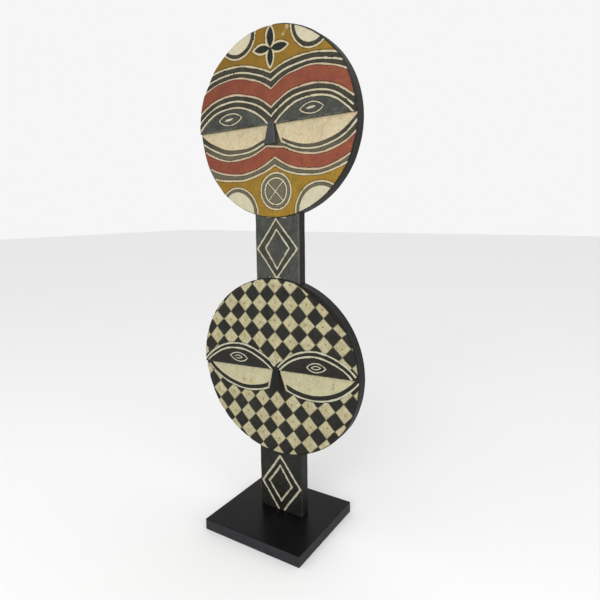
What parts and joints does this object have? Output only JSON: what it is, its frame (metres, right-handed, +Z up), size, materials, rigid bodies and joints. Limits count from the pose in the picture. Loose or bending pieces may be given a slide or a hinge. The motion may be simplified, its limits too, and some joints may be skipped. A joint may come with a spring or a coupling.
{
  "type": "carved wooden mask",
  "caption": "Standing carved wooden mask for display: painted round faces one above the other on an upright board, fixed to a flat black base.",
  "frame": {"origin": "centre of the base board's underside, the face the object stands on", "axes": "+Z up along the board, +Y from the painted front to the plain back, +X to the viewer's right when facing the front"},
  "size_m": [0.359, 0.202, 0.9424],
  "materials": {
    "painted_wood": "satin matt paint over hand-carved wood: charcoal black, cream, brick red and ochre",
    "black_lacquer": "semi-gloss black lacquer",
    "screw_steel": "zinc-plated steel"
  },
  "bodies": {
    "root": {"carved_plank": "painted_wood", "base_board": "black_lacquer", "fixing_screws": "screw_steel"}
  },
  "joints": []
}
